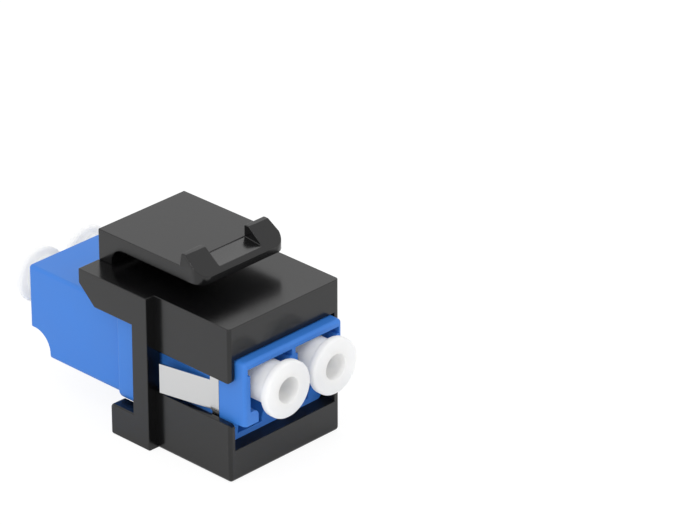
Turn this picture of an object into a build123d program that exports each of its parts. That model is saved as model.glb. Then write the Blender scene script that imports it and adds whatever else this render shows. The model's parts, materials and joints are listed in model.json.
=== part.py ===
from build123d import *
import os
from math import cos, radians, sin

# Duplex LC fibre adapter in a snap-in keystone holder, with its four dust caps.
# Millimetres. X runs across the two ports, -Y is the panel side, +Y the back, +Z up.
# The origin is on the floor, under the weld plane between the two adapter halves.

# Adapter, two welded halves
adapter_length = 29.5
adapter_width = 12.92
adapter_height = 9.40
adapter_edge_radius = 0.40
adapter_lower_edge_radius = 0.65
flange_length = 3.15
flange_width = 14.68
flange_bottom_gap = 0.10
flange_top_gap = 0.10
flange_corner_radius = 0.60
flange_lower_corner_radius = 0.90
flange_rim_radius = 0.35

# Ports, one to each fibre, on the pitch of the duplex plug
port_pitch = 6.25
ferrule_height = 6.42
port_width = 5.20
port_top = 8.73
ledge_top = 4.15
ledge_radius = 0.55
port_depth = 12.55
top_slot_width = 5.80
top_slot_height = 0.73
top_slot_depth = 3.20
latch_channel_width = 3.14
latch_channel_floor = 0.50
catch_width = 4.60
catch_height = 1.90
catch_start = 4.40
catch_length = 3.60

# Cut-away under each mouth, where the plug's latch is pressed
mouth_notch_height = 2.80
mouth_notch_radius = 2.10
mouth_notch_flat = 0.70

# Flow mark on the top of the rear half
mark_start = 4.00
mark_length = 1.80
mark_width = 0.16
mark_depth = 0.12
mark_offset = -0.20

# Sleeve holders and ceramic sleeves
plate_thickness = 1.20
plate_width = 11.00
plate_height = 4.60
plate_clearance = 0.05
plate_corner_radius = 0.80
tube_diameter = 3.00
tube_length = 4.30
tube_hole_clearance = 0.05
tube_lip = 0.70
sleeve_diameter = 1.62
sleeve_bore = 1.25
sleeve_length = 6.80
sleeve_slot = 0.20
sleeve_clearance = 0.06

# Holder moulding
holder_height = 16.22
floor_thickness = 3.30
adapter_top_clearance = 0.10
adapter_side_clearance = 0.14
block_width = 14.50
block_length = 9.96
block_edge_radius = 0.35
rib_width = 16.62
rib_thickness = 2.02
rib_flange_gap = 0.025
side_wall_height = 2.80
skirt_height = 2.34
window_corner_radius = 0.45
foot_length = 3.18
foot_top_radius = 0.45
foot_bottom_radius = 0.25
foot_side_radius = 0.20
foot_notch_start = 5.15
foot_notch_width = 1.52
foot_notch_floor = 1.20
wing_length = 7.15
wing_chamfer_length = 2.07
wing_edge_height = 1.51
bottom_edge_radius = 0.40

# Latch arm
arm_width = 11.28
arm_thickness = 1.40
arm_gap = 1.83
arm_root_thickness = 1.76
arm_inner_radius = 1.60
arm_corner_radius = 1.30
arm_edge_radius = 0.15
knuckle_clearance = 0.03
panel_thickness_gap = 1.86
ear_height = 1.19
ear_inner_half = 2.80
ear_top_half = 5.40
ear_slope = 0.80
lip_drop = 0.26
nose_drop = 0.33
nose_reach = 2.85
crease_width = 0.18
crease_depth = 0.10

# Spring clip, folded from thin strip
clip_thickness = 0.20
clip_bend_radius = 0.55
clip_start = 3.46
clip_band = 1.14
clip_end_gap = 0.45
clip_leg_bottom = 0.70
clip_window_bottom = 2.60
clip_window_top = 7.70
clip_window_rear = 1.20
tongue_bottom = 3.12
tongue_height = 3.06
tongue_length = 5.75
tongue_angle = 11.4
relief_radius = 0.26
recess_clearance = 0.05

# Dust caps
cap_disc_diameter = 5.76
cap_disc_thickness = 0.95
cap_disc_radius = 0.25
cap_standoff = 1.51
cap_stem_diameter = 4.20
cap_stem_end_gap = 0.28
cap_bore_clearance = 0.04
cap_bore_depth = 4.20
cap_hole_diameter = 2.60
cap_hole_depth = 5.00
cap_lead_in = 0.25

# Heights and places worked out from the sizes above
half_length = adapter_length / 2
adapter_bottom = floor_thickness
adapter_top = adapter_bottom + adapter_height
ferrule_z = adapter_bottom + ferrule_height
port_top_z = adapter_bottom + port_top
ledge_z = adapter_bottom + ledge_top
channel_floor_z = adapter_bottom + latch_channel_floor
divider_y = half_length - port_depth
pocket_depth = plate_thickness + plate_clearance
slab_bottom = adapter_top + adapter_top_clearance
passage_half = adapter_width / 2 + adapter_side_clearance
rib_rear = -(flange_length / 2 + rib_flange_gap)
rib_front = rib_rear - rib_thickness
block_front = rib_front - block_length
foot_rear = rib_rear + foot_length
wing_rear = rib_rear + wing_length
arm_bottom = holder_height + arm_gap
arm_top = arm_bottom + arm_thickness
root_front = wing_rear - arm_root_thickness
knuckle_radius = arm_root_thickness / 2
knuckle_y = wing_rear - knuckle_radius
ear_rear = rib_front - panel_thickness_gap
nose_front = ear_rear - nose_reach
clip_front = -half_length + clip_start
clip_rear = -flange_length / 2 - clip_end_gap
cap_disc_inner = half_length + cap_standoff
cap_stem_end = half_length - port_depth + cap_stem_end_gap

os.makedirs("parts", exist_ok=True)


def port_locations():
    """Places of the two ports on a plane across the adapter, at the floor's height."""
    return Locations((-port_pitch / 2, 0), (port_pitch / 2, 0))


def rectangle_between(low_x, high_x, low_y, high_y):
    """Rectangle in the current sketch between two corners."""
    with Locations(((low_x + high_x) / 2, (low_y + high_y) / 2)):
        Rectangle(high_x - low_x, high_y - low_y)


def housing_half():
    """Front half of the adapter shell, from its mouth to the weld plane."""
    # Half of the flange, with a soft rim
    with BuildPart() as flange:
        with BuildSketch(Plane.XZ) as flange_section:
            rectangle_between(
                -flange_width / 2,
                flange_width / 2,
                adapter_bottom + flange_bottom_gap,
                adapter_top - flange_top_gap,
            )
            lower_corners = flange_section.vertices().group_by(Axis.Y)[0]
            upper_corners = flange_section.vertices().group_by(Axis.Y)[-1]
            fillet(lower_corners, radius=flange_lower_corner_radius)
            fillet(upper_corners, radius=flange_corner_radius)
        extrude(amount=flange_length / 2)
        fillet(flange.faces().sort_by(Axis.Y)[0].edges(), radius=flange_rim_radius)

    with BuildPart() as half:
        # Square body
        with BuildSketch(Plane.XZ):
            rectangle_between(-adapter_width / 2, adapter_width / 2, adapter_bottom, adapter_top)
        extrude(amount=half_length)
        long_edges = half.edges().filter_by(Axis.Y).group_by(Axis.Z)
        fillet(long_edges[0], radius=adapter_lower_edge_radius)
        mouth_edges = half.faces().sort_by(Axis.Y)[0].edges()
        fillet(long_edges[-1] + mouth_edges, radius=adapter_edge_radius)

        add(flange.part)

        # Two square ports, each with a latch channel below it
        with BuildSketch(Plane.XZ.offset(half_length)) as port_section:
            with port_locations():
                with Locations((0, (ledge_z + port_top_z) / 2)):
                    Rectangle(port_width, port_top_z - ledge_z)
                with Locations((0, (channel_floor_z + ledge_z) / 2)):
                    Rectangle(latch_channel_width, ledge_z - channel_floor_z)
            ledge_corners = [
                corner
                for corner in port_section.vertices()
                if abs(corner.Y - ledge_z) < 0.01
                and abs(abs(abs(corner.X) - port_pitch / 2) - latch_channel_width / 2) < 0.01
            ]
            fillet(ledge_corners, radius=ledge_radius)
        extrude(amount=-port_depth, mode=Mode.SUBTRACT)

        # Wider slot along the top of each port, near the mouth only
        with BuildSketch(Plane.XZ.offset(half_length)):
            with port_locations():
                with Locations((0, port_top_z - top_slot_height / 2)):
                    Rectangle(top_slot_width, top_slot_height)
        extrude(amount=-top_slot_depth, mode=Mode.SUBTRACT)

        # Catch behind each ledge, where the plug's latch springs out
        with BuildSketch(Plane.XZ.offset(half_length - catch_start)):
            with port_locations():
                with Locations((0, ledge_z - ledge_radius - catch_height / 2)):
                    Rectangle(catch_width, catch_height)
        extrude(amount=-catch_length, mode=Mode.SUBTRACT)

        # Cut-away under the mouth
        notch_centre_y = -half_length + mouth_notch_flat
        notch_centre_z = adapter_bottom + mouth_notch_height - mouth_notch_radius
        with BuildSketch(Plane.YZ):
            with Locations((notch_centre_y, notch_centre_z)):
                Circle(mouth_notch_radius)
            rectangle_between(
                -half_length - 1,
                notch_centre_y,
                adapter_bottom - 1,
                adapter_bottom + mouth_notch_height,
            )
        extrude(amount=adapter_width, both=True, mode=Mode.SUBTRACT)

        # Pocket for the sleeve holder's plate, and the holes for its tubes
        with BuildSketch(Plane.XZ) as pocket_section:
            with Locations((0, ferrule_z)):
                Rectangle(plate_width + 2 * plate_clearance, plate_height + 2 * plate_clearance)
            fillet(pocket_section.vertices(), radius=plate_corner_radius)
        extrude(amount=pocket_depth, mode=Mode.SUBTRACT)
        with BuildSketch(Plane.XZ):
            with port_locations():
                with Locations((0, ferrule_z)):
                    Circle(tube_diameter / 2 + tube_hole_clearance)
        extrude(amount=divider_y, mode=Mode.SUBTRACT)
    return half


front_half = housing_half()

# Adapter half on the panel side, with a shallow recess for the spring clip
with BuildPart() as adapter_front_housing:
    add(front_half.part)
    with BuildSketch(Plane.XZ.offset(-clip_front + recess_clearance)) as around:
        rectangle_between(-flange_width, flange_width, adapter_bottom - 1, adapter_top + 1)
        with Locations((0, (adapter_bottom - 1 + adapter_top - clip_thickness) / 2)):
            core_height = adapter_top - clip_thickness - adapter_bottom + 1
            RectangleRounded(
                adapter_width - 2 * clip_thickness,
                core_height,
                clip_bend_radius - clip_thickness,
                mode=Mode.SUBTRACT,
            )
    recess_length = -flange_length / 2 - clip_front + recess_clearance
    extrude(amount=-recess_length, mode=Mode.SUBTRACT)
adapter_front_housing.part.label = "adapter_front_housing"

# Adapter half behind the panel
with BuildPart() as adapter_rear_housing:
    mirror(front_half.part, about=Plane.XZ)
    with BuildSketch(Plane.XY.offset(adapter_top)):
        with Locations((mark_offset, mark_start + mark_length / 2)):
            Rectangle(mark_width, mark_length)
    extrude(amount=-mark_depth, mode=Mode.SUBTRACT)
adapter_rear_housing.part.label = "adapter_rear_housing"

# Sleeve holder: a plate with two tubes, one on each side of the weld plane
with BuildPart() as sleeve_holder_front:
    with BuildSketch(Plane.XZ) as plate_section:
        with Locations((0, ferrule_z)):
            Rectangle(plate_width, plate_height)
        fillet(plate_section.vertices(), radius=plate_corner_radius)
    extrude(amount=plate_thickness)
    with BuildSketch(Plane.XZ):
        with port_locations():
            with Locations((0, ferrule_z)):
                Circle(tube_diameter / 2)
    extrude(amount=tube_length)
    with BuildSketch(Plane.XZ):
        with port_locations():
            with Locations((0, ferrule_z)):
                Circle(sleeve_diameter / 2 + sleeve_clearance)
    extrude(amount=tube_length - tube_lip, mode=Mode.SUBTRACT)
    with BuildSketch(Plane.XZ):
        with port_locations():
            with Locations((0, ferrule_z)):
                Circle(sleeve_bore / 2 + sleeve_clearance)
    extrude(amount=tube_length, mode=Mode.SUBTRACT)
sleeve_holder_front.part.label = "sleeve_holder_front"

with BuildPart() as sleeve_holder_rear:
    mirror(sleeve_holder_front.part, about=Plane.XZ)
sleeve_holder_rear.part.label = "sleeve_holder_rear"

# Slit ceramic sleeves that line up the ferrules
for side, side_sign in (("left", -1), ("right", 1)):
    with BuildPart() as split_sleeve:
        with BuildSketch(Plane.XZ):
            with Locations((side_sign * port_pitch / 2, ferrule_z)):
                Circle(sleeve_diameter / 2)
                Circle(sleeve_bore / 2, mode=Mode.SUBTRACT)
                with Locations((0, sleeve_diameter / 2)):
                    Rectangle(sleeve_slot, sleeve_diameter, mode=Mode.SUBTRACT)
        extrude(amount=sleeve_length / 2, both=True)
    split_sleeve.part.label = f"split_sleeve_{side}"
    export_step(split_sleeve.part, f"parts/split_sleeve_{side}.step")

# Holder moulding
with BuildPart() as holder:
    # Block that passes through the panel
    with BuildSketch(Plane.XZ.offset(-rib_front)):
        rectangle_between(-block_width / 2, block_width / 2, 0, holder_height)
    extrude(amount=block_length)
    front_corners = holder.edges().filter_by(Axis.Z).group_by(Axis.Y)[0]
    fillet(front_corners, radius=block_edge_radius)
    bottom_edges = holder.faces().sort_by(Axis.Z)[0].edges().sort_by(Axis.Y)[:-1]
    fillet(bottom_edges, radius=bottom_edge_radius)

    # Rib, foot and wing share one side profile
    with BuildSketch(Plane.YZ) as side_profile:
        with BuildLine():
            Polyline(
                (rib_front, 0),
                (foot_rear, 0),
                (foot_rear, floor_thickness),
                (rib_rear, floor_thickness),
                (rib_rear, slab_bottom),
                (wing_rear - wing_chamfer_length, slab_bottom),
                (wing_rear, holder_height - wing_edge_height),
                (wing_rear, holder_height),
                (rib_front, holder_height),
                close=True,
            )
        make_face()
        fillet(side_profile.vertices().sort_by_distance((foot_rear, floor_thickness, 0))[0], foot_top_radius)
        fillet(side_profile.vertices().sort_by_distance((foot_rear, 0, 0))[0], foot_bottom_radius)
    extrude(amount=rib_width / 2, both=True)
    foot_sides = holder.edges().filter_by(Axis.Y).filter_by_position(
        Axis.Z, floor_thickness - 0.01, floor_thickness + 0.01
    )
    fillet(foot_sides.group_by(Axis.X)[0] + foot_sides.group_by(Axis.X)[-1], radius=foot_side_radius)

    # Passage for the adapter, open at the front and through the rib
    with BuildSketch(Plane.XZ.offset(-rib_rear)):
        rectangle_between(-passage_half, passage_half, floor_thickness, slab_bottom)
    extrude(amount=rib_thickness + block_length, mode=Mode.SUBTRACT)

    # Side windows, where the clip's tongues stand out
    window_bottom = floor_thickness + side_wall_height
    window_top = slab_bottom - skirt_height
    with BuildSketch(Plane.YZ):
        rectangle_between(block_front - 1, rib_front, window_bottom, window_top)
        rounded_y = block_front + window_corner_radius
        for wall_z, into_wall in ((window_bottom, -1), (window_top, 1)):
            rounded_z = wall_z + into_wall * window_corner_radius
            low_z, high_z = sorted((wall_z, rounded_z))
            rectangle_between(block_front - 1, rounded_y, low_z, high_z)
            with Locations((rounded_y, rounded_z)):
                Circle(window_corner_radius, mode=Mode.SUBTRACT)
    extrude(amount=block_width, both=True, mode=Mode.SUBTRACT)

    # Notches in the foot, beside the adapter
    with BuildSketch(Plane.XZ.offset(-rib_rear)):
        for side_sign in (-1, 1):
            inner = side_sign * foot_notch_start
            outer = side_sign * (foot_notch_start + foot_notch_width)
            rectangle_between(min(inner, outer), max(inner, outer), foot_notch_floor, floor_thickness + 1)
    extrude(amount=-foot_length - 1, mode=Mode.SUBTRACT)

    # Half-round seat for the root of the latch arm
    with BuildSketch(Plane.YZ):
        with Locations((knuckle_y, holder_height)):
            Circle(knuckle_radius + knuckle_clearance)
    extrude(amount=arm_width / 2 + knuckle_clearance, both=True, mode=Mode.SUBTRACT)
holder.part.label = "holder"

# Latch arm, pressed to free the holder from its panel
with BuildPart() as latch_arm:
    # Side profile: half-round root, plate, and sloping nose
    lip_z = arm_top - lip_drop
    nose_z = lip_z - nose_drop
    with BuildSketch(Plane.YZ) as arm_side:
        with BuildLine():
            Polyline(
                (wing_rear, holder_height),
                (wing_rear, arm_top),
                (ear_rear, arm_top),
                (nose_front + nose_drop / ear_slope, lip_z),
                (nose_front, nose_z),
                (nose_front, arm_bottom),
                (root_front, arm_bottom),
                (root_front, holder_height),
                close=True,
            )
        make_face()
        inner_corner = arm_side.vertices().sort_by_distance((root_front, arm_bottom, 0))[0]
        fillet(inner_corner, radius=arm_inner_radius)
        nose_corner = arm_side.vertices().sort_by_distance((nose_front, arm_bottom, 0))[0]
        fillet(nose_corner, radius=arm_edge_radius)
        with Locations((knuckle_y, holder_height)):
            Circle(knuckle_radius)
    extrude(amount=arm_width / 2, both=True)

    # Fine crease where the lip bends down between the ears
    with BuildSketch(Plane.YZ):
        with Locations((ear_rear - crease_width / 2, arm_top)):
            Rectangle(crease_width, 2 * crease_depth)
    extrude(amount=ear_inner_half, both=True, mode=Mode.SUBTRACT)

    # Two ears that catch the panel, in one slope with the nose
    ear_top = arm_top + ear_height
    ear_crest = nose_front + (ear_top - nose_z) / ear_slope
    for side_sign in (-1, 1):
        with BuildSketch(Plane.YZ.offset(side_sign * ear_inner_half)) as ear_side:
            with BuildLine():
                Polyline(
                    (ear_rear, lip_z),
                    (ear_rear, ear_top),
                    (ear_crest, ear_top),
                    (nose_front, nose_z),
                    close=True,
                )
            make_face()
            fillet(ear_side.vertices().group_by(Axis.Y)[-1], radius=arm_edge_radius)
        extrude(amount=side_sign * (arm_width / 2 - ear_inner_half))

    # Outer faces of the ears lean in from the arm's sides
    with BuildSketch(Plane.XZ.offset(-wing_rear)):
        with BuildLine():
            Polyline(
                (-arm_width / 2, holder_height - knuckle_radius),
                (-arm_width / 2, arm_top),
                (-ear_top_half, ear_top),
                (ear_top_half, ear_top),
                (arm_width / 2, arm_top),
                (arm_width / 2, holder_height - knuckle_radius),
                close=True,
            )
        make_face()
    extrude(amount=wing_rear - nose_front, mode=Mode.INTERSECT)

    # Round corners of the nose, seen from above
    with BuildSketch(Plane.XY.offset(holder_height - knuckle_radius)) as plan:
        rectangle_between(-arm_width / 2, arm_width / 2, nose_front, wing_rear)
        fillet(plan.vertices().group_by(Axis.Y)[0], radius=arm_corner_radius)
    extrude(amount=ear_top - holder_height + knuckle_radius, mode=Mode.INTERSECT)
latch_arm.part.label = "latch_arm"

# Spring clip: a strip folded over the adapter, with a tongue lanced out of each side
with BuildPart() as spring_clip:
    with BuildSketch(Plane.XZ.offset(-clip_front)):
        leg_bottom = adapter_bottom + clip_leg_bottom
        outer_height = adapter_top - adapter_bottom
        inner_height = outer_height - clip_thickness
        with Locations((0, adapter_top - outer_height / 2)):
            RectangleRounded(adapter_width, outer_height, clip_bend_radius)
        with Locations((0, adapter_top - clip_thickness - inner_height / 2)):
            inner_radius = clip_bend_radius - clip_thickness
            inner_width = adapter_width - 2 * clip_thickness
            RectangleRounded(inner_width, inner_height, inner_radius, mode=Mode.SUBTRACT)
        with Locations((0, (adapter_bottom + leg_bottom) / 2)):
            Rectangle(flange_width, leg_bottom - adapter_bottom, mode=Mode.SUBTRACT)
    extrude(amount=clip_front - clip_rear)

    # Window that each tongue is lanced from, with a round relief at its foot
    band_rear = clip_front + clip_band
    window_low = adapter_bottom + clip_window_bottom
    with BuildSketch(Plane.YZ):
        rectangle_between(
            band_rear, clip_rear - clip_window_rear, window_low, adapter_bottom + clip_window_top
        )
        with Locations((band_rear, window_low + relief_radius)):
            Circle(relief_radius)
    extrude(amount=adapter_width, both=True, mode=Mode.SUBTRACT)

    # Tongues, splayed out to rest on the rib when the adapter is pulled back
    lean = radians(tongue_angle)
    tongue_low = adapter_bottom + tongue_bottom
    with BuildSketch(Plane.XY.offset(tongue_low)):
        for side_sign in (-1, 1):
            outer_x = adapter_width / 2
            inner_x = outer_x - clip_thickness
            along_x = tongue_length * sin(lean)
            along_y = tongue_length * cos(lean)
            across_x = clip_thickness * cos(lean)
            across_y = clip_thickness * sin(lean)
            with BuildLine():
                Polyline(
                    (side_sign * inner_x, band_rear),
                    (side_sign * outer_x, band_rear),
                    (side_sign * (outer_x + along_x), band_rear + along_y),
                    (side_sign * (outer_x + along_x - across_x), band_rear + along_y + across_y),
                    close=True,
                )
            make_face()
    extrude(amount=tongue_height)
spring_clip.part.label = "spring_clip"

# Dust caps: a disc on a stem that slips over the sleeve tube
for end, end_sign in (("front", -1), ("rear", 1)):
    for side, side_sign in (("left", -1), ("right", 1)):
        disc_plane = Plane(
            origin=(side_sign * port_pitch / 2, end_sign * cap_disc_inner, ferrule_z),
            x_dir=(1, 0, 0),
            z_dir=(0, end_sign, 0),
        )
        stem_length = cap_disc_inner - cap_stem_end
        with BuildPart() as dust_cap:
            with BuildSketch(disc_plane):
                Circle(cap_disc_diameter / 2)
            extrude(amount=cap_disc_thickness)
            fillet(dust_cap.edges(), radius=cap_disc_radius)
            with BuildSketch(disc_plane):
                Circle(cap_stem_diameter / 2)
            extrude(amount=-stem_length)
            stem_tip = dust_cap.faces().sort_by(Axis.Y, reverse=end_sign < 0)[0]
            chamfer(stem_tip.edges(), length=cap_lead_in)
            with BuildSketch(disc_plane.offset(cap_disc_thickness)):
                Circle(cap_hole_diameter / 2)
            extrude(amount=-cap_hole_depth, mode=Mode.SUBTRACT)
            with BuildSketch(disc_plane.offset(-stem_length)):
                Circle(tube_diameter / 2 + cap_bore_clearance)
            extrude(amount=cap_bore_depth, mode=Mode.SUBTRACT)
        dust_cap.part.label = f"dust_cap_{end}_{side}"
        export_step(dust_cap.part, f"parts/dust_cap_{end}_{side}.step")

for piece in (
    holder,
    latch_arm,
    adapter_front_housing,
    adapter_rear_housing,
    sleeve_holder_front,
    sleeve_holder_rear,
    spring_clip,
):
    export_step(piece.part, f"parts/{piece.part.label}.step")
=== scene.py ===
"""Looks of a duplex fibre adapter in its snap-in panel holder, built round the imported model."""

import json
import logging
import math
from collections.abc import Iterator
from contextlib import contextmanager
from dataclasses import dataclass
from enum import Enum
from typing import Any, Protocol

import bmesh
import bpy
from mathutils import Matrix, Vector

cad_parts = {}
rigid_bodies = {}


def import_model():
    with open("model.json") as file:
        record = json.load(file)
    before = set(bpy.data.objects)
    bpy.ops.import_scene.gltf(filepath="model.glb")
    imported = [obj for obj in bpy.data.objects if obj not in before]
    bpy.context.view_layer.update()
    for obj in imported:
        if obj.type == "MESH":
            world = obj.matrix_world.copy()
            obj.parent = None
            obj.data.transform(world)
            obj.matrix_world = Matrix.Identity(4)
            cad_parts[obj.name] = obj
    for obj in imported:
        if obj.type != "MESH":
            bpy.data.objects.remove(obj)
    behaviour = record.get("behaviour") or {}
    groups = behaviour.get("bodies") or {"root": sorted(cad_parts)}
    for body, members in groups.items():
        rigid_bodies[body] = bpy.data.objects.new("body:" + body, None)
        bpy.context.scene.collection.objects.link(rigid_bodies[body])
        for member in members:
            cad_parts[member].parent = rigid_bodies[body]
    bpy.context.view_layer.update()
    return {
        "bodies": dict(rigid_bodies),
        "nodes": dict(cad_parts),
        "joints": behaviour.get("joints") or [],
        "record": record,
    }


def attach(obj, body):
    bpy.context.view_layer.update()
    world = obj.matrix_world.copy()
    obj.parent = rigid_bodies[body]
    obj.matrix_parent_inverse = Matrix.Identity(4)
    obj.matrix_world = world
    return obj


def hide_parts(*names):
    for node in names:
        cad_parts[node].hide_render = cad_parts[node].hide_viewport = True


Frame = dict[str, Any]
Colour = tuple[float, float, float, float]

MM = 0.001
WHITE: Colour = (1.0, 1.0, 1.0, 1.0)
# Points closer than this are one point
MERGE_MM = 0.0005
# Nearly all of a noise texture's values lie between these
NOISE_LOW, NOISE_HIGH = 0.3, 0.7
log = logging.getLogger("adapter")


class End(Enum):
    """An end of the adapter, by the sign of its direction along Y."""

    FRONT = -1
    REAR = 1


class Side(Enum):
    """A port of the pair, by the sign of its direction along X."""

    LEFT = -1
    RIGHT = 1


def linear(hex_colour: str) -> Colour:
    """Turn an sRGB hex colour into the linear colour that a shader takes.

    Args:
        hex_colour: Six hex digits after a hash, such as "#5089dc".

    Returns:
        Red, green, blue and an alpha of 1.
    """
    channels = [int(hex_colour[i : i + 2], 16) / 255 for i in (1, 3, 5)]
    red, green, blue = (c / 12.92 if c <= 0.04045 else ((c + 0.055) / 1.055) ** 2.4 for c in channels)
    return red, green, blue, 1.0


def add_node(
    tree: bpy.types.NodeTree,
    kind: str,
    settings: dict[str, Any] | None = None,
    inputs: dict[str | int, Any] | None = None,
    label: str = "",
) -> bpy.types.Node:
    """Add a node with its settings, its socket values and the links that come into it.

    Args:
        tree: The node tree that gets the node.
        kind: The node's type name.
        settings: Values for the node's own properties.
        inputs: Input sockets by name, or by index where names repeat, each with its value or the output
            socket to link. A Mix node has its two values at 2 and 3, and its two colours at 6 and 7.
        label: Plain words shown on the node.

    Returns:
        The new node.
    """
    node = tree.nodes.new(kind)
    node.label = label
    for name, value in (settings or {}).items():
        setattr(node, name, value)
    for key, value in (inputs or {}).items():
        socket = node.inputs[key]
        if isinstance(value, bpy.types.NodeSocket):
            tree.links.new(value, socket)
        else:
            socket.default_value = value
    return node


def new_material(name: str) -> tuple[bpy.types.Material, bpy.types.NodeTree]:
    """Make an empty node material.

    Args:
        name: What the material is called.

    Returns:
        The material and its tree.
    """
    material = bpy.data.materials.new(name)
    material.use_nodes = True
    material.node_tree.nodes.clear()
    return material, material.node_tree


class Finish(Protocol):
    """Anything that can make its own material."""

    def material(self) -> bpy.types.Material:
        """Make the material."""


@dataclass(frozen=True)
class CoreSide:
    """The faces round a moulding's opening, which the mould's core leaves duller than its cavity.

    Attributes:
        half_width_mm: Half the opening's width and a hair more, so that its walls count, about X = 0.
        middle_mm: Height of the opening's middle.
        half_height_mm: Half the opening's height and a hair more.
        roughness: Roughness of those faces.
    """

    half_width_mm: float
    middle_mm: float
    half_height_mm: float
    roughness: float

    def gloss(
        self, tree: bpy.types.NodeTree, place: bpy.types.NodeSocket, outside: bpy.types.NodeSocket
    ) -> bpy.types.NodeSocket:
        """Make the roughness duller within the opening.

        Args:
            tree: The material's tree.
            place: Object coordinates.
            outside: The roughness everywhere else.

        Returns:
            The roughness of the whole moulding.
        """
        parts = add_node(tree, "ShaderNodeSeparateXYZ", inputs={"Vector": place}).outputs
        beside, between = (
            add_node(
                tree,
                "ShaderNodeMath",
                settings={"operation": "COMPARE"},
                inputs={0: parts[axis], 1: middle * MM, 2: half * MM},
                label="within the opening",
            ).outputs["Value"]
            for axis, middle, half in (
                ("X", 0.0, self.half_width_mm),
                ("Z", self.middle_mm, self.half_height_mm),
            )
        )
        inside = add_node(
            tree, "ShaderNodeMath", settings={"operation": "MULTIPLY"}, inputs={0: beside, 1: between}
        ).outputs["Value"]
        return add_node(
            tree, "ShaderNodeMix", inputs={"Factor": inside, 2: outside, 3: self.roughness}, label="core side"
        ).outputs[0]


@dataclass(frozen=True)
class MouldedPlastic:
    """An injection-moulded plastic or ceramic, with the faint skin that its mould and flow leave.

    Attributes:
        name: The material's name.
        colour: sRGB hex of the pigment.
        roughness: Roughness of the moulded skin.
        ior: Index of refraction.
        roughness_spread: How far the flow of the melt shifts the roughness, up and down.
        flow_mm: Size of the patches that the flow leaves.
        skin_mm: Spacing of the slow waves in the skin, from shrinkage.
        skin_depth_mm: Height of those waves.
        grain_mm: Spacing of the mould wall's grain, drawn coarser than the real one, too fine to show.
        grain_depth_mm: Height of that grain.
        depth: Weight of the light that goes in and comes out again.
        depth_mm: How far that light travels.
        mottle: Share by which the pigment's brightness drifts.
        core: The duller faces round an opening, if it has any.
    """

    name: str
    colour: str
    roughness: float
    ior: float
    roughness_spread: float
    flow_mm: float
    skin_mm: float
    skin_depth_mm: float
    grain_mm: float
    grain_depth_mm: float
    depth: float = 0.0
    depth_mm: float = 0.3
    mottle: float = 0.04
    core: CoreSide | None = None

    def material(self) -> bpy.types.Material:
        """Make the plastic: pigment, skin waves, mould grain and a drift in the gloss.

        Returns:
            The material, on Object coordinates.
        """
        material, tree = new_material(self.name)
        place = add_node(tree, "ShaderNodeTexCoord").outputs["Object"]
        flow = add_node(
            tree,
            "ShaderNodeTexNoise",
            inputs={"Vector": place, "Scale": 1 / (self.flow_mm * MM), "Detail": 3.0, "Roughness": 0.55},
            label="flow of the melt",
        ).outputs["Fac"]
        roughness = add_node(
            tree,
            "ShaderNodeMapRange",
            inputs={
                "Value": flow,
                "From Min": NOISE_LOW,
                "From Max": NOISE_HIGH,
                "To Min": self.roughness - self.roughness_spread,
                "To Max": self.roughness + self.roughness_spread,
            },
            label="gloss",
        ).outputs["Result"]
        if self.core:
            roughness = self.core.gloss(tree, place, roughness)
        red, green, blue, _ = linear(self.colour)
        low, high = 1 - self.mottle, 1 + self.mottle
        pigment = add_node(
            tree,
            "ShaderNodeMix",
            settings={"data_type": "RGBA"},
            inputs={
                "Factor": flow,
                6: (red * low, green * low, blue * low, 1.0),
                7: (min(red * high, 1.0), min(green * high, 1.0), min(blue * high, 1.0), 1.0),
            },
            label="pigment",
        ).outputs[2]
        surface: dict[str, bpy.types.NodeSocket] = {}
        for label, spacing, height, detail in (
            ("skin waves", self.skin_mm, self.skin_depth_mm, 1.0),
            ("mould grain", self.grain_mm, self.grain_depth_mm, 2.0),
        ):
            relief = add_node(
                tree,
                "ShaderNodeTexNoise",
                inputs={"Vector": place, "Scale": 1 / (spacing * MM), "Detail": detail},
                label=label,
            ).outputs["Fac"]
            bump = add_node(
                tree,
                "ShaderNodeBump",
                inputs={"Height": relief, "Strength": 1.0, "Distance": height * MM, **surface},
                label=label,
            )
            surface = {"Normal": bump.outputs["Normal"]}
        shader = add_node(
            tree,
            "ShaderNodeBsdfPrincipled",
            inputs={
                "Base Color": pigment,
                "Roughness": roughness,
                "IOR": self.ior,
                "Subsurface Weight": self.depth,
                "Subsurface Radius": (1.0, 1.0, 1.0),
                "Subsurface Scale": self.depth_mm * MM,
                **surface,
            },
        )
        add_node(tree, "ShaderNodeOutputMaterial", inputs={"Surface": shader.outputs["BSDF"]})
        return material


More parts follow.
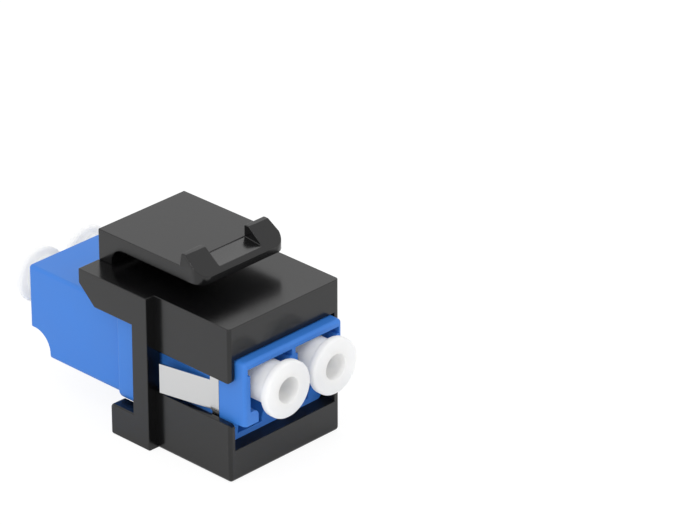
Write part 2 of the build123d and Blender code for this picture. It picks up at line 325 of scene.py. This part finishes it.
@dataclass(frozen=True)
class RolledSteel:
    """Cold-rolled spring strip: bright, with faint lines along the rolling direction.

    Attributes:
        name: The material's name.
        colour: sRGB hex of the metal's reflection.
        roughness: Roughness of the rolled face.
        roughness_share: Share by which the roughness drifts from line to line.
        line_mm: Spacing of the rolling lines, drawn coarser than the real ones, too fine to show.
        line_length_mm: Length of each line before it fades.
        line_depth_mm: Depth of the lines.
    """

    name: str
    colour: str
    roughness: float
    roughness_share: float
    line_mm: float
    line_length_mm: float
    line_depth_mm: float

    def material(self) -> bpy.types.Material:
        """Make the metal, with lines that run along the adapter.

        Returns:
            The material, on Object coordinates.
        """
        material, tree = new_material(self.name)
        place = add_node(tree, "ShaderNodeTexCoord").outputs["Object"]
        across, along = 1 / (self.line_mm * MM), 1 / (self.line_length_mm * MM)
        stretched = add_node(
            tree,
            "ShaderNodeMapping",
            inputs={"Vector": place, "Scale": (across, along, across)},
            label="stretched along the strip",
        ).outputs["Vector"]
        lines = add_node(
            tree,
            "ShaderNodeTexNoise",
            inputs={"Vector": stretched, "Scale": 1.0, "Detail": 3.0},
            label="rolling lines",
        ).outputs["Fac"]
        roughness = add_node(
            tree,
            "ShaderNodeMapRange",
            inputs={
                "Value": lines,
                "From Min": NOISE_LOW,
                "From Max": NOISE_HIGH,
                "To Min": self.roughness * (1 - self.roughness_share),
                "To Max": self.roughness * (1 + self.roughness_share),
            },
            label="gloss",
        ).outputs["Result"]
        surface = add_node(
            tree,
            "ShaderNodeBump",
            inputs={"Height": lines, "Strength": 1.0, "Distance": self.line_depth_mm * MM},
            label="rolling lines",
        ).outputs["Normal"]
        shader = add_node(
            tree,
            "ShaderNodeBsdfPrincipled",
            inputs={
                "Base Color": linear(self.colour),
                "Metallic": 1.0,
                "Roughness": roughness,
                "Normal": surface,
            },
        )
        add_node(tree, "ShaderNodeOutputMaterial", inputs={"Surface": shader.outputs["BSDF"]})
        return material


# ABS, polished mould: nearly black pigment, so all the eye sees is its reflection of the white surround.
# The core that forms the opening isn't polished, so the blue adapter hardly mirrors in the opening's floor.
HOLDER_ABS = MouldedPlastic(
    name="black_ABS_polished_mould",
    colour="#0b0b0c",
    roughness=0.21,
    ior=1.5,
    roughness_spread=0.02,
    flow_mm=5.0,
    skin_mm=3.0,
    skin_depth_mm=0.004,
    grain_mm=0.25,
    grain_depth_mm=0.0006,
    core=CoreSide(half_width_mm=6.64, middle_mm=8.05, half_height_mm=4.80, roughness=0.55),
)
# PBT, satin mould: clean strong blue with a soft sheen
ADAPTER_PBT = MouldedPlastic(
    name="blue_PBT_satin_mould",
    colour="#337bd5",
    roughness=0.5,
    ior=1.5,
    roughness_spread=0.03,
    flow_mm=4.0,
    skin_mm=2.5,
    skin_depth_mm=0.003,
    grain_mm=0.12,
    grain_depth_mm=0.0015,
)
# Low-density polyethylene: milky white, light goes a little way in
CAP_PE = MouldedPlastic(
    name="white_polyethylene_moulded",
    colour="#fbf9f3",
    roughness=0.42,
    ior=1.5,
    roughness_spread=0.03,
    flow_mm=2.5,
    skin_mm=2.0,
    skin_depth_mm=0.004,
    grain_mm=0.15,
    grain_depth_mm=0.001,
    depth=1.0,
    depth_mm=3.0,
    mottle=0.01,
)
# Zirconia, ground: dense warm white with a hard gloss
SLEEVE_ZIRCONIA = MouldedPlastic(
    name="zirconia_ground",
    colour="#f2efe6",
    roughness=0.18,
    ior=2.1,
    roughness_spread=0.02,
    flow_mm=1.0,
    skin_mm=0.5,
    skin_depth_mm=0.0005,
    grain_mm=0.05,
    grain_depth_mm=0.0002,
    depth=0.2,
    depth_mm=0.2,
    mottle=0.01,
)
# Spring steel, cold rolled and bright: mirrors the surround, blurred along the rolling lines
CLIP_STEEL = RolledSteel(
    name="spring_steel_cold_rolled",
    colour="#d0d0cf",
    roughness=0.22,
    roughness_share=0.2,
    line_mm=0.08,
    line_length_mm=3.0,
    line_depth_mm=0.0004,
)


def bake_modifiers(piece: bpy.types.Object) -> None:
    """Turn what the piece's modifiers make into its plain mesh, and remove them.

    Args:
        piece: A mesh object with live modifiers.
    """
    bpy.context.view_layer.update()
    evaluated = piece.evaluated_get(bpy.context.evaluated_depsgraph_get())
    mesh = bpy.data.meshes.new_from_object(evaluated)
    mesh.name = piece.data.name
    # A node group's own grid brings an empty slot, which would leave the faces bare
    for index in reversed(range(len(mesh.materials))):
        if mesh.materials[index] is None:
            mesh.materials.pop(index=index)
    piece.modifiers.clear()
    piece.data = mesh


@contextmanager
def opened(mesh: bpy.types.Mesh) -> Iterator[bmesh.types.BMesh]:
    """Open a mesh for editing and write it back at the end.

    Args:
        mesh: A plain mesh.

    Yields:
        Its editable form.
    """
    shape = bmesh.new()
    shape.from_mesh(mesh)
    yield shape
    shape.to_mesh(mesh)
    shape.free()


@dataclass(frozen=True)
class Skin:
    """How a mesh is cleaned, softened and shaded.

    Attributes:
        edge_mm: Radius given to the hard outward edges, 0 to leave them.
        edge_steps: Straight steps across each softened edge.
        edge_share: Most of a narrow face's breadth that one softened edge may take.
        flat_deg: Neighbouring faces closer to one plane than this become one face.
        crease_deg: Faces that meet at a sharper angle count as a hard edge.
        inner_edges: Whether inward corners are softened too.
    """

    edge_mm: float = 0.0
    edge_steps: int = 2
    edge_share: float = 0.45
    flat_deg: float = 0.2
    crease_deg: float = 30.0
    inner_edges: bool = False

    def clean(self, mesh: bpy.types.Mesh) -> None:
        """Join loose points, smooth the faces and mark the hard edges.

        Args:
            mesh: A plain mesh, changed in place.
        """
        with opened(mesh) as shape:
            bmesh.ops.remove_doubles(shape, verts=shape.verts, dist=MERGE_MM * MM)
            bmesh.ops.dissolve_degenerate(shape, edges=shape.edges, dist=MERGE_MM * MM)
            if self.edge_mm:
                flat = math.radians(self.flat_deg)
                bmesh.ops.dissolve_limit(shape, angle_limit=flat, verts=shape.verts, edges=shape.edges)
            for face in shape.faces:
                face.smooth = True
                face.material_index = 0
            self.mark_edges(shape)

    def mark_edges(self, shape: bmesh.types.BMesh) -> None:
        """Mark hard edges as sharp, save those that are softened instead.

        Args:
            shape: An open mesh, changed in place.
        """
        crease = math.radians(self.crease_deg)
        layers = shape.edges.layers.float
        softened = layers.get("bevel_weight_edge") or layers.new("bevel_weight_edge")
        for edge in shape.edges:
            hard = not edge.is_manifold or edge.calc_face_angle(0.0) >= crease
            rounded = bool(self.edge_mm) and hard and (edge.is_convex or self.inner_edges)
            edge[softened] = self.share(edge) if rounded else 0.0
            edge.smooth = rounded or not hard

    def share(self, edge: bmesh.types.BMEdge) -> float:
        """Give the share of the full radius that an edge gets.

        Args:
            edge: A hard edge between two faces.

        Returns:
            1, or less beside a narrow face, such as a groove's wall, so that its two edges never meet.
        """
        breadth = min(face.calc_area() for face in edge.link_faces) / edge.calc_length()
        return min(1.0, self.edge_share * breadth / (self.edge_mm * MM))

    def apply(self, piece: bpy.types.Object) -> None:
        """Clean the piece's mesh, soften its hard edges and keep its flat faces flat.

        Args:
            piece: A plain mesh object.
        """
        self.clean(piece.data)
        if self.edge_mm:
            soften = piece.modifiers.new("moulded edges", "BEVEL")
            soften.width = self.edge_mm * MM
            soften.segments = self.edge_steps
            soften.limit_method = "WEIGHT"
            soften.use_clamp_overlap = False
            soften.miter_outer = "MITER_ARC"
            bake_modifiers(piece)
            # The modifier drops the marks of inner corners that it touches
            with opened(piece.data) as shape:
                self.mark_edges(shape)
        weights = piece.modifiers.new("flat faces stay flat", "WEIGHTED_NORMAL")
        weights.keep_sharp = True
        # The highest weight lets the larger face decide
        weights.weight = 100
        bake_modifiers(piece)


def hand_over(piece: bpy.types.Object, node: str, body: str) -> bpy.types.Object:
    """Give a finished piece its body and the node that it stands for.

    Args:
        piece: A plain mesh object with its material.
        node: The node that it replaces.
        body: The body that it rides on.

    Returns:
        The same piece.
    """
    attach(piece, body)
    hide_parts(node)
    log.info("%s: %d faces, rides on %s", piece.name, len(piece.data.polygons), body)
    return piece


@dataclass
class SolidCopy:
    """A piece whose solid is already true: a merged, smooth-shaded copy of its node.

    Attributes:
        node: The node that the piece stands for.
        body: The body that it rides on.
        slot: The record's material slot; not used.
        material: Its finish.
        skin: How its mesh is softened and shaded.
    """

    node: str
    body: str
    slot: str
    material: bpy.types.Material
    skin: Skin = Skin()

    def build(self, frame: Frame) -> bpy.types.Object:
        """Copy the node's mesh, join its loose triangles and shade it.


        Returns:
            The finished piece, riding on its body.
        """
        mesh = frame["nodes"][self.node].data.copy()
        mesh.name = f"{self.node}_dressed"
        mesh.materials.clear()
        mesh.materials.append(self.material)
        piece = bpy.data.objects.new(mesh.name, mesh)
        bpy.context.collection.objects.link(piece)
        self.skin.apply(piece)
        return hand_over(piece, self.node, self.body)


def rounded_outline(corners: list[tuple[float, float, float]], steps: int) -> list[Vector]:
    """Round the corners of an open outline beside the Z axis.

    Args:
        corners: For each corner its distance from the axis, its place along it and its radius, in mm.
        steps: Straight steps in each rounded corner.

    Returns:
        Points in metres, x away from the axis and z along it.
    """
    places = [Vector((away, 0.0, along)) * MM for away, along, _ in corners]
    points = [places[0]]
    for before, place, after, corner in zip(places, places[1:], places[2:], corners[1:]):
        radius = corner[2] * MM
        if radius == 0:
            points.append(place)
            continue
        back, ahead = (before - place).normalized(), (after - place).normalized()
        half = back.angle(ahead) / 2
        centre = place + (back + ahead).normalized() * radius / math.sin(half)
        start = (place + back * radius / math.tan(half) - centre).normalized()
        end = (place + ahead * radius / math.tan(half) - centre).normalized()
        points += [centre + start.slerp(end, step / steps) * radius for step in range(steps + 1)]
    return points + [places[-1]]


def lathe_tree() -> bpy.types.NodeTree:
    """Make the node group that turns an outline round its axis and sets the piece in its place.

    Returns:
        The group. Its inputs are the outline, the steps round, the place, the turn and the finish.
    """
    tree = bpy.data.node_groups.new("lathe", "GeometryNodeTree")
    named = {
        "Outline": "NodeSocketGeometry",
        "Steps round": "NodeSocketInt",
        "Place": "NodeSocketVector",
        "Turn": "NodeSocketVector",
        "Finish": "NodeSocketMaterial",
    }
    for name, kind in named.items():
        tree.interface.new_socket(name, in_out="INPUT", socket_type=kind)
    tree.interface.new_socket("Piece", in_out="OUTPUT", socket_type="NodeSocketGeometry")
    given = add_node(tree, "NodeGroupInput").outputs
    outline, steps = given["Outline"], given["Steps round"]
    count = add_node(
        tree,
        "GeometryNodeAttributeDomainSize",
        settings={"component": "MESH"},
        inputs={"Geometry": outline},
        label="points of the outline",
    ).outputs["Point Count"]
    columns = add_node(
        tree,
        "FunctionNodeIntegerMath",
        settings={"operation": "ADD"},
        inputs={0: steps, 1: 1},
        label="columns, seam twice",
    ).outputs[0]
    sheet = add_node(
        tree, "GeometryNodeMeshGrid", inputs={"Vertices X": count, "Vertices Y": columns}, label="sheet"
    ).outputs["Mesh"]
    index = add_node(tree, "GeometryNodeInputIndex").outputs["Index"]
    row, column = (
        add_node(
            tree,
            "FunctionNodeIntegerMath",
            settings={"operation": operation},
            inputs={0: index, 1: columns},
            label=label,
        ).outputs[0]
        for operation, label in (("DIVIDE_FLOOR", "point of the outline"), ("MODULO", "step round"))
    )
    position = add_node(tree, "GeometryNodeInputPosition").outputs["Position"]
    sampled = add_node(
        tree,
        "GeometryNodeSampleIndex",
        settings={"data_type": "FLOAT_VECTOR", "domain": "POINT"},
        inputs={"Geometry": outline, "Value": position, "Index": row},
        label="outline",
    ).outputs["Value"]
    parts = add_node(tree, "ShaderNodeSeparateXYZ", inputs={"Vector": sampled}).outputs
    share = add_node(
        tree,
        "ShaderNodeMath",
        settings={"operation": "DIVIDE"},
        inputs={0: column, 1: steps},
        label="share of a turn",
    ).outputs["Value"]
    angle = add_node(
        tree,
        "ShaderNodeMath",
        settings={"operation": "MULTIPLY"},
        inputs={0: share, 1: math.tau},
        label="angle",
    ).outputs["Value"]
    place_on_circle = {"Z": parts["Z"]}
    for axis, operation in (("X", "COSINE"), ("Y", "SINE")):
        ratio = add_node(
            tree,
            "ShaderNodeMath",
            settings={"operation": operation},
            inputs={0: angle},
            label=operation.lower(),
        ).outputs["Value"]
        place_on_circle[axis] = add_node(
            tree,
            "ShaderNodeMath",
            settings={"operation": "MULTIPLY"},
            inputs={0: parts["X"], 1: ratio},
            label=f"along {axis}",
        ).outputs["Value"]
    turned = add_node(tree, "ShaderNodeCombineXYZ", inputs=place_on_circle).outputs["Vector"]
    wrapped = add_node(
        tree, "GeometryNodeSetPosition", inputs={"Geometry": sheet, "Position": turned}, label="wrap round"
    ).outputs["Geometry"]
    closed = add_node(
        tree,
        "GeometryNodeMergeByDistance",
        inputs={"Geometry": wrapped, "Distance": MERGE_MM * MM},
        label="close seam and poles",
    ).outputs["Geometry"]
    spot = add_node(
        tree, "GeometryNodePoints", inputs={"Count": 1, "Position": given["Place"]}
    ).outputs["Points"]
    turn = add_node(
        tree, "FunctionNodeEulerToRotation", inputs={"Euler": given["Turn"]}
    ).outputs["Rotation"]
    placed = add_node(
        tree,
        "GeometryNodeInstanceOnPoints",
        inputs={"Points": spot, "Instance": closed, "Rotation": turn},
        label="set in its port",
    ).outputs["Instances"]
    real_mesh = add_node(
        tree, "GeometryNodeRealizeInstances", inputs={"Geometry": placed}
    ).outputs["Geometry"]
    finished = add_node(
        tree, "GeometryNodeSetMaterial", inputs={"Geometry": real_mesh, "Material": given["Finish"]}
    ).outputs["Geometry"]
    add_node(tree, "NodeGroupOutput", inputs={"Piece": finished})
    return tree


@dataclass
class Holder:
    """The black holder and the latch arm on its top.

    Attributes:
        finish: The black plastic of both.
        slot: Its material slot in the record.
        skin: Gives the holder's outward edges the little radius that a moulding has.
        arm_skin: The same for the arm, where a finger presses: rounder, and in its inner corners too.
    """

    finish: Finish = HOLDER_ABS
    slot: str = "holder_plastic"
    skin: Skin = Skin(edge_mm=0.07)
    arm_skin: Skin = Skin(edge_mm=0.09, inner_edges=True)

    def build(self, frame: Frame) -> list[bpy.types.Object]:
        """Dress the holder and its arm in one black plastic.


        Returns:
            The holder and the arm.
        """
        material = self.finish.material()
        return [
            SolidCopy("holder", "holder", self.slot, material, self.skin).build(frame),
            SolidCopy("latch_arm", "latch", self.slot, material, self.arm_skin).build(frame),
        ]


@dataclass
class Adapter:
    """The blue adapter: two welded halves, with sleeve holders and ceramic sleeves inside.

    Attributes:
        finish: The blue plastic of the halves and the sleeve holders.
        sleeve_finish: The ceramic of the sleeves.
        slot: The blue plastic's material slot in the record.
        sleeve_slot: The ceramic's.
    """

    finish: Finish = ADAPTER_PBT
    sleeve_finish: Finish = SLEEVE_ZIRCONIA
    slot: str = "adapter_plastic"
    sleeve_slot: str = "sleeve_ceramic"

    def build(self, frame: Frame) -> list[bpy.types.Object]:
        """Dress the halves and what they hold.


        Returns:
            Two halves, two sleeve holders and two sleeves.
        """
        plastic = self.finish.material()
        ceramic = self.sleeve_finish.material()
        blue = ("adapter_front_housing", "adapter_rear_housing", "sleeve_holder_front", "sleeve_holder_rear")
        pieces = [SolidCopy(node, "holder", self.slot, plastic).build(frame) for node in blue]
        for node in ("split_sleeve_left", "split_sleeve_right"):
            pieces.append(SolidCopy(node, "holder", self.sleeve_slot, ceramic).build(frame))
        return pieces


@dataclass
class SpringClip:
    """The folded steel strip that grips the adapter and catches the holder's rib.

    Attributes:
        finish: The strip's steel.
        slot: Its material slot in the record.
    """

    finish: Finish = CLIP_STEEL
    slot: str = "clip_steel"

    def build(self, frame: Frame) -> list[bpy.types.Object]:
        """Dress the clip."""
        return [SolidCopy("spring_clip", "holder", self.slot, self.finish.material()).build(frame)]


@dataclass
class DustCaps:
    """The four white caps, one turned shape: a disc with a blind hole on a hollow round stem.

    Attributes:
        finish: The caps' white plastic.
        slot: Its material slot in the record; not used.
        disc_diameter: Across the disc.
        disc_thickness: Of the disc.
        rim_radius: Of the disc's rim.
        hole_diameter: Of the blind hole in the disc.
        hole_depth: From the disc's face.
        stem_diameter: Of the stem.
        stem_length: From the disc's back to the tip.
        lead_in: Slope at the tip, both ways.
        bore_diameter: Of the bore that slips over the sleeve tube.
        bore_depth: From the tip.
        mouth_radius: Of the softened mouths of hole and bore.
        port_pitch: Between the two ports.
        axis_height: Of the ports' axes above the floor.
        disc_back: From the weld plane to the disc's back.
        corner_steps: Straight steps in each rounded corner.
        steps_round: Straight steps round the axis.
    """

    finish: Finish = CAP_PE
    slot: str = "cap_plastic"
    disc_diameter: float = 5.76
    disc_thickness: float = 0.95
    rim_radius: float = 0.25
    hole_diameter: float = 2.60
    hole_depth: float = 5.00
    stem_diameter: float = 4.20
    stem_length: float = 13.78
    lead_in: float = 0.25
    bore_diameter: float = 3.08
    bore_depth: float = 4.20
    mouth_radius: float = 0.10
    port_pitch: float = 6.25
    axis_height: float = 9.72
    disc_back: float = 16.26
    corner_steps: int = 6
    steps_round: int = 96

    def outline(self) -> bpy.types.Mesh:
        """Draw half of the cap's section, from the hole's floor round to the bore's end.

        Returns:
            A chain of edges beside the Z axis, which is the cap's axis.
        """
        hole, bore = self.hole_diameter / 2, self.bore_diameter / 2
        disc, stem = self.disc_diameter / 2, self.stem_diameter / 2
        face, tip = self.disc_thickness, -self.stem_length
        corners = [
            (0.0, face - self.hole_depth, 0.0),
            (hole, face - self.hole_depth, self.mouth_radius),
            (hole, face, self.mouth_radius),
            (disc, face, self.rim_radius),
            (disc, 0.0, self.rim_radius),
            (stem, 0.0, self.mouth_radius),
            (stem, tip + self.lead_in, 0.0),
            (stem - self.lead_in, tip, 0.0),
            (bore, tip, self.mouth_radius),
            (bore, tip + self.bore_depth, self.mouth_radius),
            (0.0, tip + self.bore_depth, 0.0),
        ]
        points = rounded_outline(corners, self.corner_steps)
        mesh = bpy.data.meshes.new("cap_outline")
        mesh.from_pydata(points, [(i, i + 1) for i in range(len(points) - 1)], [])
        return mesh

    def cap(
        self, tree: bpy.types.NodeTree, plastic: bpy.types.Material, end: End, side: Side
    ) -> bpy.types.Object:
        """Turn one cap in its port.

        Args:
            tree: The lathe.
            plastic: The cap's material.
            end: Which end of the adapter.
            side: Which port there.

        Returns:
            The finished cap, riding on its body.
        """
        name = f"cap_{end.name}_{side.name}".lower()
        piece = bpy.data.objects.new(f"dust_{name}_dressed", self.outline())
        bpy.context.collection.objects.link(piece)
        place = Vector((side.value * self.port_pitch / 2, end.value * self.disc_back, self.axis_height)) * MM
        values = {
            "Steps round": self.steps_round,
            "Place": place,
            "Turn": (-end.value * math.pi / 2, 0.0, 0.0),
            "Finish": plastic,
        }
        lathe = piece.modifiers.new("lathe", "NODES")
        lathe.node_group = tree
        for socket in tree.interface.items_tree:
            if socket.name in values:
                lathe[socket.identifier] = values[socket.name]
        bake_modifiers(piece)
        Skin().apply(piece)
        return hand_over(piece, f"dust_{name}", name)

    def build(self, frame: Frame) -> list[bpy.types.Object]:
        """Turn all four caps anew, without the frame's own meshes."""
        tree, plastic = lathe_tree(), self.finish.material()
        return [self.cap(tree, plastic, end, side) for end in End for side in Side]


@dataclass
class PhotoCamera:
    """The photograph's viewpoint, solved from the object's straight edges.

    Attributes:
        azimuth_deg: Bearing of the camera, 0 looking along +Y.
        elevation_deg: Its height above the horizon.
        roll_deg: Its turn about its own axis.
        offset_mm: The frame's origin in camera axes, right, up and towards the camera.
        focal_px: Focal length in pixels of the picture.
        frame_px: Width of the picture in pixels.
        sensor_mm: Sensor width that goes with the lens.
        reach_m: Nearest and farthest distance that the camera sees.
    """

    azimuth_deg: float = -45.880
    elevation_deg: float = 27.091
    roll_deg: float = -0.076
    offset_mm: tuple[float, float, float] = (-15.803, -14.005, -442.706)
    focal_px: float = 4604.7
    frame_px: int = 700
    sensor_mm: float = 36.0
    reach_m: tuple[float, float] = (0.01, 10.0)

    def build(self) -> bpy.types.Object:
        """Make the camera and give it to the scene.

        Returns:
            The camera.
        """
        a, e = math.radians(self.azimuth_deg), math.radians(self.elevation_deg)
        back = Vector((math.sin(a) * math.cos(e), -math.cos(a) * math.cos(e), math.sin(e)))
        right = Vector((math.cos(a), math.sin(a), 0.0))
        up = back.cross(right)
        turn = Matrix((right, up, back)).transposed() @ Matrix.Rotation(math.radians(self.roll_deg), 3, "Z")
        data = bpy.data.cameras.new("photo_camera")
        data.sensor_width = self.sensor_mm
        data.lens = self.focal_px / self.frame_px * self.sensor_mm
        data.clip_start, data.clip_end = self.reach_m
        camera = bpy.data.objects.new("photo_camera", data)
        place = -(turn @ Vector(self.offset_mm)) * MM
        camera.matrix_world = Matrix.Translation(place) @ turn.to_4x4()
        bpy.context.collection.objects.link(camera)
        bpy.context.scene.camera = camera
        return camera


@dataclass(frozen=True)
class Softbox:
    """A square soft lamp that faces the object.

    Attributes:
        name: The lamp's name.
        place: Where it hangs, in metres.
        power: Its power in watts.
        side: Its side in metres.
        mirrored: Whether shiny faces show it.
    """

    name: str
    place: tuple[float, float, float]
    power: float
    side: float
    mirrored: bool = False

    def build(self) -> bpy.types.Object:
        """Hang the lamp.

        Returns:
            The lamp.
        """
        data = bpy.data.lights.new(self.name, "AREA")
        data.shape = "SQUARE"
        data.size = self.side
        data.energy = self.power
        lamp = bpy.data.objects.new(self.name, data)
        lamp.location = self.place
        lamp.rotation_euler = (-Vector(self.place)).to_track_quat("-Z", "Y").to_euler()
        lamp.visible_glossy = self.mirrored
        bpy.context.collection.objects.link(lamp)
        return lamp


@dataclass
class Studio:
    """A plain white sweep under plain soft light.

    Attributes:
        ambient: Strength of the white surround as light on the object.
        lamps: A large soft one above, a small one for the rounded edges and a panel for the arm's nose.
        floor_size: Side of the floor, in metres.
        floor_white: Strength of the floor's own white.
        floor_shadow: Share of the floor's lit shade that the camera sees.
        mirror_shadow: Share of the floor's lit shade that shiny faces see.
    """

    ambient: float = 0.95
    lamps: tuple[Softbox, ...] = (
        Softbox("key_softbox", place=(-0.25, -0.10, 0.55), power=0.4, side=0.45),
        Softbox("edge_softbox", place=(-0.44, -0.14, 0.38), power=0.25, side=0.08, mirrored=True),
        Softbox("top_panel", place=(0.128, 0.083, 0.149), power=0.0075, side=0.049, mirrored=True),
    )
    floor_size: float = 6.0
    floor_white: float = 1.05
    floor_shadow: float = 0.15
    mirror_shadow: float = 0.7

    def build(self) -> None:
        """Make the surround, the lamps and the floor."""
        self.surround()
        for lamp in self.lamps:
            lamp.build()
        self.floor()

    def surround(self) -> None:
        """White world: full white where it is seen or mirrored, dimmer as light on the object."""
        world = bpy.data.worlds.new("white_surround")
        world.use_nodes = True
        tree = world.node_tree
        tree.nodes.clear()
        path = add_node(tree, "ShaderNodeLightPath")
        seen = add_node(
            tree,
            "ShaderNodeMath",
            settings={"operation": "MAXIMUM"},
            inputs={0: path.outputs["Is Camera Ray"], 1: path.outputs["Is Glossy Ray"]},
        ).outputs["Value"]
        seen = add_node(
            tree,
            "ShaderNodeMath",
            settings={"operation": "MAXIMUM"},
            inputs={0: seen, 1: path.outputs["Is Transmission Ray"]},
        ).outputs["Value"]
        strength = add_node(
            tree,
            "ShaderNodeMapRange",
            inputs={"Value": seen, "To Min": self.ambient, "To Max": 1.0},
            label="white where seen",
        ).outputs["Result"]
        white = add_node(tree, "ShaderNodeBackground", inputs={"Color": WHITE, "Strength": strength})
        add_node(tree, "ShaderNodeOutputWorld", inputs={"Surface": white.outputs["Background"]})
        bpy.context.scene.world = world

    def floor(self) -> None:
        """Lay a pale floor that stays white and keeps a soft shadow of the object."""
        material, tree = new_material("white_floor")
        path = add_node(tree, "ShaderNodeLightPath")
        mirrored = add_node(
            tree,
            "ShaderNodeMath",
            settings={"operation": "MULTIPLY"},
            inputs={0: path.outputs["Is Glossy Ray"], 1: 1 - self.mirror_shadow},
            label="own white in mirror images",
        ).outputs["Value"]
        share = add_node(
            tree,
            "ShaderNodeMath",
            settings={"operation": "MULTIPLY_ADD"},
            inputs={0: path.outputs["Is Camera Ray"], 1: 1 - self.floor_shadow, 2: mirrored},
            label="own white",
        ).outputs["Value"]
        paint = add_node(tree, "ShaderNodeBsdfDiffuse", inputs={"Color": WHITE})
        white = add_node(tree, "ShaderNodeEmission", inputs={"Color": WHITE, "Strength": self.floor_white})
        mixed = add_node(
            tree,
            "ShaderNodeMixShader",
            inputs={0: share, 1: paint.outputs["BSDF"], 2: white.outputs["Emission"]},
        )
        add_node(tree, "ShaderNodeOutputMaterial", inputs={"Surface": mixed.outputs["Shader"]})
        half = self.floor_size / 2
        mesh = bpy.data.meshes.new("floor")
        corners = [(-half, -half, 0.0), (half, -half, 0.0), (half, half, 0.0), (-half, half, 0.0)]
        mesh.from_pydata(corners, [], [(0, 1, 2, 3)])
        mesh.materials.append(material)
        floor = bpy.data.objects.new("floor", mesh)
        bpy.context.collection.objects.link(floor)


def set_view() -> None:
    """Show colours as they are written."""
    bpy.context.scene.view_settings.view_transform = "Standard"


def main() -> None:
    """Build every sub-assembly round the frame, in order, and report it."""
    logging.basicConfig(level=logging.INFO, format="%(name)s: %(message)s")
    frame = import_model()
    for part in (Holder(), Adapter(), SpringClip(), DustCaps()):
        pieces = part.build(frame)
        log.info("%s: %d pieces", type(part).__name__, len(pieces))
    PhotoCamera().build()
    Studio().build()
    set_view()


if __name__ == "__main__":
    main()
